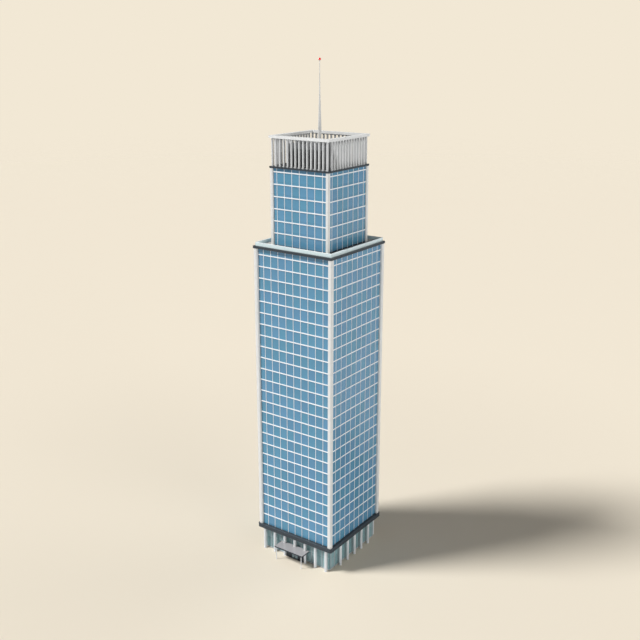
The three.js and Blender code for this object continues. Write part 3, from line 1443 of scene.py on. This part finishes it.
@dataclass
class Terrace:
    """The setback: parapet with its cap, and paving round the upper shaft."""

    cap_lip: float = 0.006
    cap_rise: float = 0.008
    cap_fold: float = 0.012
    cap_round: float = 0.002
    paver_margin: float = 0.004
    paver_count: int = 20

    def cap(self) -> None:
        """A folded cap over the parapet, all the way round."""
        low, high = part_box("terrace_parapet_front")
        outer = -low.y
        inner = -high.y
        top = high.z
        fold = top - self.cap_fold
        profile = [
            (outer + self.cap_lip, fold),
            (outer + self.cap_lip, top + self.cap_rise * 0.7),
            (outer + self.cap_lip - self.cap_round, top + self.cap_rise),
            (inner - self.cap_lip + self.cap_round, top + self.cap_rise * 0.8),
            (inner - self.cap_lip, top + self.cap_rise * 0.5),
            (inner - self.cap_lip, fold),
            (inner - HAIR, fold),
            (inner - HAIR, top + HAIR),
            (outer + HAIR, top + HAIR),
            (outer + HAIR, fold),
        ]
        shape = bmesh.new()
        add_square_sweep(shape, profile)
        settle(shaped("parapet_cap", shape, PARAPET_CAP))

    def paving(self) -> None:
        """Slabs on the terrace, clear of the upper shaft."""
        inner = -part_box("terrace_parapet_front")[1].y - self.paver_margin
        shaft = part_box("upper_corner_post_front_right")[1].x
        sizes = {
            "Count": self.paver_count,
            "Half width": inner,
            "Clear half width": shaft,
            "Level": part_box("terrace_slab")[1].z + HAIR,
            "Seed": 5,
        }
        settle(grown("terrace_paving", paver_field(), sizes, ROOF_PAVER))

    def build(self) -> None:
        """Dresses the parapet and adds its cap and the paving."""
        dress(PARAPET_PANELS, *(f"terrace_parapet_{side.label}" for side in Side))
        self.cap()
        self.paving()


@dataclass
class Entrance:
    """Canopy, portal and the pair of doors under it."""

    wall_line: float = -1.49  # where the canopy meets the lobby glass
    seam_pitch: float = 0.1
    seam_count: int = 11
    seam_width: float = 0.004
    seam_height: float = 0.005
    seam_bed: float = 0.0015
    seam_stop: float = 0.012
    fascia: float = 0.004
    fascia_rise: float = 0.005
    fascia_drop: float = 0.003
    arris: float = 0.0015
    light_rows: tuple[float, ...] = (0.1, 0.25)
    light_spots: tuple[float, ...] = (-0.42, -0.21, 0.0, 0.21, 0.42)
    trim_width: float = 0.018
    trim_reach: float = 0.004
    trim_edge: float = 0.0012
    plate_half: float = 0.135
    plate_lap: float = 0.04
    plate_thickness: float = 0.002
    stile: float = 0.012
    bottom_rail: float = 0.024
    proud: float = 0.0025
    pull_length: float = 0.11
    pull_radius: float = 0.0028
    pull_tip: float = 0.0022
    pull_inset: float = 0.02
    pull_clear: float = 0.008
    bracket_half: float = 0.0016
    bracket_inset: float = 0.012

    def canopy_top(self) -> None:
        """Standing seams over the canopy slab."""
        low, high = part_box("entrance_canopy")
        start = -(self.seam_count - 1) / 2 * self.seam_pitch
        sizes = {
            "Count": self.seam_count,
            "First": (start, low.y + self.seam_stop, high.z + self.seam_bed),
            "Step": (self.seam_pitch, 0.0, 0.0),
            "Width": self.seam_width,
            "Depth": self.seam_height,
            "Length": self.wall_line - low.y - self.seam_stop,
            "Corner": THIN_EDGE,
            "Lay": (-QUARTER, 0.0, 0.0),
        }
        settle(grown("canopy_seams", bar_row(), sizes, CANOPY_SHEET))

    def canopy_edge(self) -> None:
        """Dark fascia on the canopy's front and sides."""
        low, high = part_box("entrance_canopy")
        under, over = low.z - self.fascia_drop, high.z + self.fascia_rise
        left, right = low.x - self.fascia, high.x + self.fascia
        shape = bmesh.new()
        add_box(shape, (left, low.y - self.fascia, under), (right, low.y, over), self.arris)
        add_box(shape, (left, low.y, under), (low.x, self.wall_line, over), self.arris)
        add_box(shape, (high.x, low.y, under), (right, self.wall_line, over), self.arris)
        settle(shaped("canopy_fascia", shape, DARK_PAINT))

    def canopy_soffit(self) -> None:
        """Recessed downlights under the canopy."""
        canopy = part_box("entrance_canopy")[0]
        under = canopy.z
        profile = [
            (0.0, under - 0.001),
            (0.011, under - 0.001),
            (0.013, under - 0.003),
            (0.016, under - 0.003),
            (0.017, under + 0.001),
            (0.0, under + 0.001),
        ]
        shape = bmesh.new()
        for row in self.light_rows:
            for x in self.light_spots:
                add_lathe(shape, profile, (x, canopy.y + row), sides=20)
        settle(shaped("canopy_downlights", shape, STEEL))

    def posts(self) -> None:
        """The canopy's slender posts, each with a base plate and a head collar."""
        for hand in Hand:
            node = f"canopy_post_{hand.label}"
            low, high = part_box(node)
            middle = (low + high) / 2
            radius = (high.x - low.x) / 2
            profile = [
                (0.0, 0.0),
                (radius + 0.009, 0.0),
                (radius + 0.009, 0.004),
                (radius + 0.002, 0.006),
                (radius, 0.01),
                (radius, high.z - 0.012),
                (radius + 0.005, high.z - 0.004),
                (radius + 0.005, high.z),
                (0.0, high.z),
            ]
            shape = bmesh.new()
            add_lathe(shape, profile, (middle.x, middle.y), sides=28)
            piece = shaped(f"canopy_upright_{hand.label}", shape, COLUMN_PAINT)
            settle(piece, stands_for=[node])

    def portal_edge(self) -> None:
        """A raised edge round the portal's mouth."""
        low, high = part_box("entrance_portal")
        front, under = low.y - self.trim_reach, high.z - self.trim_width
        shape = bmesh.new()
        for x in (low.x, high.x - self.trim_width):
            foot = (x, front, self.plate_thickness)
            add_box(shape, foot, (x + self.trim_width, low.y, high.z), self.trim_edge)
        add_box(shape, (low.x, front, under), (high.x, low.y, high.z), self.trim_edge)
        settle(shaped("portal_edge", shape, SLATE_TRIM))

    def threshold(self) -> None:
        """The steel plate under the doors."""
        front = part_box("entrance_portal")[0].y + 0.001
        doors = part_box("door_frame")[0]
        top = doors.z + self.plate_thickness
        plate = bmesh.new()
        far = (self.plate_half, doors.y + self.plate_lap, top)
        add_box(plate, (-self.plate_half, front, doors.z), far, 0.0006)
        settle(shaped("door_threshold", plate, STEEL))

    def leaf(self, hand: Hand) -> None:
        """Stiles, rails and pulls on one door leaf.

        Args:
            hand: which of the two leaves.
        """
        low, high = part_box(f"door_leaf_{hand.label}")
        front, rear = low.y - self.proud, high.y + self.proud
        stile = self.stile
        shape = bmesh.new()
        for x in (low.x, high.x - stile):
            add_box(shape, (x, front, low.z), (x + stile, rear, high.z), THIN_EDGE)
        for z, tall in ((low.z, self.bottom_rail), (high.z - stile, stile)):
            add_box(shape, (low.x, front, z), (high.x, rear, z + tall), THIN_EDGE)
        body = f"door_{hand.label}"
        settle(shaped(f"door_rails_{hand.label}", shape, DARK_PAINT), body)
        pull = bmesh.new()
        x = (high.x if hand is Hand.LEFT else low.x) + hand.value * self.pull_inset
        self._add_pull(pull, x, (front - self.pull_clear, low.y), (low.z + high.z) / 2)
        self._add_pull(pull, x, (rear + self.pull_clear, high.y), (low.z + high.z) / 2)
        settle(shaped(f"door_pull_{hand.label}", pull, STEEL), body)

    def _add_pull(
        self, shape: bmesh.types.BMesh, x: float, reach: tuple[float, float], middle: float
    ) -> None:
        """Adds an upright pull on its two brackets.

        Args:
            shape: the bmesh that gets it.
            x: its place along the front.
            reach: the pull's and the glass's distance along Y.
            middle: the level of its middle.
        """
        bottom, top = middle - self.pull_length / 2, middle + self.pull_length / 2
        profile = [(0.0, bottom), (self.pull_tip, bottom), (self.pull_radius, bottom + 0.001)]
        profile += [(self.pull_radius, top - 0.001), (self.pull_tip, top), (0.0, top)]
        add_lathe(shape, profile, (x, reach[0]), sides=12)
        half = self.bracket_half
        for z in (bottom + self.bracket_inset, top - self.bracket_inset):
            add_box(shape, (x - half, min(reach), z - half), (x + half, max(reach), z + half))

    def build(self) -> None:
        """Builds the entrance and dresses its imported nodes."""
        dress(CANOPY_SHEET, "entrance_canopy")
        dress(DARK_PAINT, "entrance_portal", "door_frame")
        # The screens' near-black colour is partly painted shade from the canopy.
        dress(SCREEN_PAINT_AND_SHADE, *(f"portal_screen_{hand.label}" for hand in Hand))
        dress(DOOR_GLASS, *(f"door_leaf_{hand.label}" for hand in Hand))
        self.canopy_top()
        self.canopy_edge()
        self.canopy_soffit()
        self.posts()
        self.portal_edge()
        self.threshold()
        for hand in Hand:
            self.leaf(hand)


@dataclass
class Crown:
    """The louvre screen round the roof, its rail, and the plant inside."""

    fin_pitch: float = 0.1535
    fin_width: float = 0.045
    fin_corner: float = 0.012
    long_row: int = 15
    short_row: int = 13
    crease: float = 40.0
    tie_height: float = 0.022
    tie_edge: float = 0.004
    sill_lift: float = 0.012
    head_drop: float = 0.018
    louvre_count: int = 16
    louvre_pitch: float = 0.032
    louvre_sheet: float = 0.004
    louvre_depth: float = 0.026
    louvre_reach: float = 0.008
    louvre_margin: float = 0.08
    fan_offset: float = 0.42
    blade_count: int = 8
    blade_tilt: float = 24.0
    blade_size: Point = (0.12, 0.055, 0.003)
    blade_reach: float = 0.105
    blade_rise: float = 0.034
    paver_count: int = 14
    paver_margin: float = 0.01

    def _fins(self, side: Side) -> int:
        """How many fins a side has; the front and back rows turn the corners."""
        return self.long_row if side in (Side.FRONT, Side.BACK) else self.short_row

    def screen(self, side: Side) -> None:
        """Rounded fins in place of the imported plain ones.

        Args:
            side: the face of the plan.
        """
        node = f"crown_screen_{side.label}"
        low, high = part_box(node)
        count = self._fins(side)
        start = -(count - 1) / 2 * self.fin_pitch
        sizes = {
            "Count": count,
            "First": (start, -FIN_FACE + FIN_DEPTH / 2, low.z),
            "Step": (self.fin_pitch, 0.0, 0.0),
            "Width": self.fin_width,
            "Depth": FIN_DEPTH,
            "Length": high.z - low.z,
            "Corner": self.fin_corner,
            "Turn": side.angle,
            "Seed": 61 + side.value,
        }
        piece = grown(f"crown_fins_{side.label}", bar_row(), sizes, FIN_METAL)
        soften(piece.data, self.crease)
        settle(piece, stands_for=[node])

    def ties(self, side: Side) -> None:
        """Sill and head rails that hold a row of fins.

        Args:
            side: the face of the plan.
        """
        low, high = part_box(f"crown_screen_{side.label}")
        half = (self._fins(side) - 1) / 2 * self.fin_pitch + self.fin_width / 2
        sizes = {
            "Count": 2,
            "First": (-half, -FIN_FACE + FIN_DEPTH * 0.7, low.z + self.sill_lift),
            "Step": (0.0, 0.0, high.z - low.z - self.sill_lift - self.head_drop),
            "Width": self.tie_height,
            "Depth": self.tie_height,
            "Length": 2 * half,
            "Corner": self.tie_edge,
            "Lay": LEVEL,
            "Turn": side.angle,
        }
        settle(grown(f"crown_ties_{side.label}", bar_row(), sizes, FIN_METAL))

    def plant_louvres(self, side: Side) -> None:
        """Weather louvres on the plant room.

        Args:
            side: the face of the plan.
        """
        low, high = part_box("roof_plant_room")
        half = high.x - self.louvre_margin
        sizes = {
            "Count": self.louvre_count,
            "First": (-half, low.y - self.louvre_reach, low.z + self.louvre_margin),
            "Step": (0.0, 0.0, self.louvre_pitch),
            "Width": self.louvre_sheet,
            "Depth": self.louvre_depth,
            "Length": 2 * half,
            "Corner": THIN_EDGE,
            "Lay": LEVEL,
            "Turn": side.angle,
        }
        piece = grown(f"plant_louvres_{side.label}", bar_row(), sizes, PLANT_SHEET)
        settle(piece)

    def plant_top(self) -> None:
        """Four fans in cowls on the plant room's roof."""
        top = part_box("roof_plant_room")[1].z
        cowl = [
            (0.0, top - 0.001),
            (0.205, top - 0.001),
            (0.205, top + 0.06),
            (0.19, top + 0.07),
            (0.17, top + 0.06),
            (0.165, top + 0.012),
            (0.05, top + 0.012),
            (0.045, top + 0.04),
            (0.0, top + 0.046),
        ]
        shape = bmesh.new()
        for x in (-self.fan_offset, self.fan_offset):
            for y in (-self.fan_offset, self.fan_offset):
                add_lathe(shape, cowl, (x, y))
                for blade in range(self.blade_count):
                    angle = math.tau * blade / self.blade_count
                    self._add_blade(shape, Vector((x, y, top + self.blade_rise)), angle)
        settle(shaped("plant_fans", shape, PLANT_SHEET))

    def _add_blade(self, shape: bmesh.types.BMesh, hub: Vector, angle: float) -> None:
        """Adds one tilted fan blade.

        Args:
            shape: the bmesh that gets it.
            hub: the fan's middle.
            angle: the blade's way round it.
        """
        lay = Euler((math.radians(self.blade_tilt), 0.0, angle)).to_matrix()
        reach = Vector((self.blade_reach, 0.0, 0.0))
        for vert in bmesh.ops.create_cube(shape, size=1.0)["verts"]:
            flat = Vector(a * b for a, b in zip(vert.co, self.blade_size))
            vert.co = lay @ (flat + reach) + hub

    def roof(self) -> None:
        """Slabs on the roof, between the screen and the plant room."""
        sizes = {
            "Count": self.paver_count,
            "Half width": FIN_FACE - FIN_DEPTH - self.paver_margin,
            "Clear half width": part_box("roof_plant_room")[1].x,
            "Level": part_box("crown_slab")[1].z + HAIR,
            "Seed": 9,
        }
        settle(grown("roof_paving", paver_field(), sizes, ROOF_DECK))

    def build(self) -> None:
        """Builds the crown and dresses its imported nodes."""
        dress(RAIL_METAL, "crown_rail")
        dress(PLANT_SHEET, "roof_plant_room")
        for side in Side:
            self.screen(side)
            self.ties(side)
            self.plant_louvres(side)
        self.plant_top()
        self.roof()


@dataclass
class Mast:
    """The needle, its footing and the beacon on its tip."""

    taper: tuple[tuple[float, float], ...] = (
        (0.0, 1.0),
        (0.18, 0.94),
        (0.45, 0.57),
        (0.64, 0.33),
        (0.82, 0.21),
        (1.0, 0.16),
    )
    collars: tuple[float, ...] = (0.18, 0.45, 0.64, 0.82)
    collar_reach: float = 0.006
    collar_half: float = 0.012
    collar_flat: float = 0.010
    bolt_count: int = 12
    bolt_inset: float = 0.02
    bolt_width: float = 0.013
    bolt_height: float = 0.012
    bolt_drop: float = 0.009
    lens_steps: int = 16
    lens_seat: float = 0.006

    def needle(self) -> None:
        """A tapering tube with a flanged joint where each length ends."""
        low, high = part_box("mast")
        foot = (high.x - low.x) / 2
        height = high.z - low.z
        profile = [(0.0, low.z)]
        for share, width in self.taper:
            radius, level = foot * width, low.z + height * share
            if share in self.collars:
                profile += [
                    (radius, level - self.collar_half),
                    (radius + self.collar_reach, level - self.collar_flat),
                    (radius + self.collar_reach, level + self.collar_flat),
                    (radius, level + self.collar_half),
                ]
            else:
                profile.append((radius, level))
        profile.append((0.0, high.z))
        shape = bmesh.new()
        add_lathe(shape, profile, sides=32)
        settle(shaped("mast_needle", shape, MAST_METAL), stands_for=["mast"])

    def footing(self) -> None:
        """A turned base plate, with bolts round the mast's foot."""
        low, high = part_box("mast_base")
        radius = (high.x - low.x) / 2
        profile = [
            (0.0, low.z),
            (radius, low.z),
            (radius, high.z - 0.014),
            (radius - 0.006, high.z - 0.008),
            (0.072, high.z - 0.008),
            (0.064, high.z),
            (0.0, high.z),
        ]
        shape = bmesh.new()
        add_lathe(shape, profile, sides=48)
        piece = shaped("mast_footing", shape, MAST_METAL)
        settle(piece, stands_for=["mast_base"])
        bolts = {
            "Count": self.bolt_count,
            "Circle": radius - self.bolt_inset,
            "Level": high.z - self.bolt_drop,
            "Width": self.bolt_width,
            "Depth": self.bolt_width,
            "Height": self.bolt_height,
            "Corner": 0.004,
        }
        settle(grown("mast_bolts", bolt_ring(), bolts, STEEL))

    def beacon(self) -> None:
        """A domed lens in a metal base ring."""
        low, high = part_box("mast_beacon")
        radius = (high.x - low.x) / 2
        middle = (low.z + high.z) / 2
        profile = [(0.0, low.z + self.lens_seat)]
        for step in range(1, self.lens_steps):
            angle = -QUARTER + math.pi * step / self.lens_steps
            profile.append((radius * math.cos(angle), middle + radius * math.sin(angle)))
        profile.append((0.0, high.z))
        shape = bmesh.new()
        add_lathe(shape, profile, sides=32)
        piece = shaped("beacon_lens", shape, BEACON_LENS)
        settle(piece, stands_for=["mast_beacon"])
        ring = bmesh.new()
        seat = [
            (0.0, low.z - 0.004),
            (0.022, low.z - 0.004),
            (0.03, low.z + 0.004),
            (0.034, low.z + 0.012),
            (0.026, low.z + 0.014),
            (0.0, low.z + 0.014),
        ]
        add_lathe(ring, seat, sides=28)
        settle(shaped("beacon_seat", ring, STEEL))

    def build(self) -> None:
        """Builds the mast from its foot up."""
        self.footing()
        self.needle()
        self.beacon()


@dataclass
class Studio:
    """Floor, light and camera."""

    azimuth: float = 35.435
    pitch: float = 17.393
    camera_at: Point = (16.850, -23.664, 17.670)
    lens: float = 50.0
    sensor: float = 36.0
    far: float = 1000.0
    floor_radius: float = 170.0
    floor_sides: int = 96
    fade_from: float = 45.0
    fade_to: float = 161.5
    # painted shade on the floor round the tower's foot, and the reaches where it fades out
    dim: float = 0.055
    dim_from: float = 6.0
    dim_to: float = 24.0
    sun_way: Point = (0.470, 0.443, -0.763)
    sun_strength: float = 3.40
    sun_angle: float = 15.5
    fill_way: Point = (-0.97, 0.18, -0.16)
    fill_strength: float = 1.0
    fill_angle: float = 40.0
    back_way: Point = (-0.42, -0.77, -0.48)
    back_strength: float = 0.45
    back_angle: float = 45.0
    ambient: float = 0.135
    backdrop: Colour = (0.888, 0.807, 0.665)
    floor_colour: Colour = (0.822, 0.742, 0.610)
    floor_bounce: Colour = (0.70, 0.705, 0.71)

    def camera(self) -> None:
        """A plain 50 mm camera on the building's three-quarter view."""
        data = bpy.data.cameras.new("view")
        data.lens = self.lens
        data.sensor_width = self.sensor
        data.clip_end = self.far
        camera = bpy.data.objects.new("view", data)
        camera.location = self.camera_at
        camera.rotation_euler = (QUARTER - math.radians(self.pitch), 0.0, math.radians(self.azimuth))
        bpy.context.scene.collection.objects.link(camera)
        bpy.context.scene.camera = camera

    def _lamp(self, name: str, way: Point, strength: float, angle: float, colour: Colour) -> None:
        """A distant lamp shining one way.

        Args:
            name: the lamp's name.
            way: where its light goes.
            strength: its power.
            angle: how wide it looks, in degrees, which softens its shadows.
            colour: its colour.
        """
        data = bpy.data.lights.new(name, "SUN")
        data.energy = strength
        data.angle = math.radians(angle)
        data.color = colour
        lamp = bpy.data.objects.new(name, data)
        lamp.rotation_mode = "QUATERNION"
        lamp.rotation_quaternion = Vector(way).to_track_quat("-Z", "Y")
        bpy.context.scene.collection.objects.link(lamp)

    def lights(self) -> None:
        """A soft key from the left, a low fill from the right, a faint back light and a sky."""
        white = (1.0, 1.0, 1.0)
        self._lamp("key", self.sun_way, self.sun_strength, self.sun_angle, white)
        self._lamp("fill", self.fill_way, self.fill_strength, self.fill_angle, white)
        self._lamp("back", self.back_way, self.back_strength, self.back_angle, white)
        world = bpy.data.worlds.new("sky")
        world.use_nodes = True
        bpy.context.scene.world = world
        tree = Tree(world.node_tree)
        world.node_tree.nodes.clear()
        sky = {"Color": (1.0, 1.0, 1.0, 1.0), "Strength": self.ambient}
        even = tree.wire("ShaderNodeBackground", None, sky)
        seen = tree.wire("ShaderNodeBackground", None, {"Color": (*self.backdrop, 1.0)})
        direct = tree.wire("ShaderNodeLightPath", output="Is Camera Ray")
        both = tree.wire("ShaderNodeMixShader", None, {0: direct, 1: even, 2: seen})
        tree.node("ShaderNodeOutputWorld", None, {"Surface": both})

    def floor(self) -> None:
        """A pale floor, with painted shade near the tower, that fades into the backdrop far away."""
        shape = bmesh.new()
        rim = {"segments": self.floor_sides, "radius": self.floor_radius}
        bmesh.ops.create_circle(shape, cap_ends=True, **rim)
        mesh = bpy.data.meshes.new("studio_floor")
        shape.to_mesh(mesh)
        shape.free()
        tree = ShaderTree("studio_floor")
        x, y, _ = tree.parts(tree.place())
        reach = tree.math("SQRT", x * x + y * y)
        direct = tree.wire("ShaderNodeLightPath", output="Is Camera Ray")
        shade = tree.mix(direct, (*self.floor_bounce, 1.0), (*self.floor_colour, 1.0))
        # Painted shade: the floor darker near the tower, fading out between the two reaches.
        near = 1.0 - tree.ramp(reach, self.dim_from, self.dim_to)
        colour = tree.tinted(shade, 1.0 - near * self.dim)
        values = {"Base Color": colour, "Roughness": 0.9, "Specular IOR Level": 0.1}
        matt = tree.wire("ShaderNodeBsdfPrincipled", None, values)
        clear = tree.wire("ShaderNodeBsdfTransparent")
        fade = tree.ramp(reach, self.fade_from, self.fade_to)
        surface = tree.wire("ShaderNodeMixShader", None, {0: fade, 1: matt, 2: clear})
        tree.node("ShaderNodeOutputMaterial", None, {"Surface": surface})
        mesh.materials.append(tree.material)
        linked("studio_floor", mesh)

    def build(self) -> None:
        """Sets up the studio."""
        bpy.context.scene.view_settings.view_transform = "Standard"
        self.camera()
        self.lights()
        self.floor()
        log.info("studio: camera, three lamps, sky and floor")


def main() -> None:
    """Builds the tower from the ground up, then the studio."""
    logging.basicConfig(level=logging.INFO, format="%(name)s %(message)s")
    main_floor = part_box("base_band")[1].z + STOREY
    upper_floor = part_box("terrace_slab")[1].z + UPPER_START
    Lobby().build()
    Entrance().build()
    SlateBands().build()
    CurtainWall("main", columns=10, rows=26, first_floor=main_floor).build()
    Terrace().build()
    CurtainWall("upper", columns=8, rows=7, first_floor=upper_floor).build()
    Crown().build()
    Mast().build()
    Studio().build()


if __name__ == "__main__":
    main()
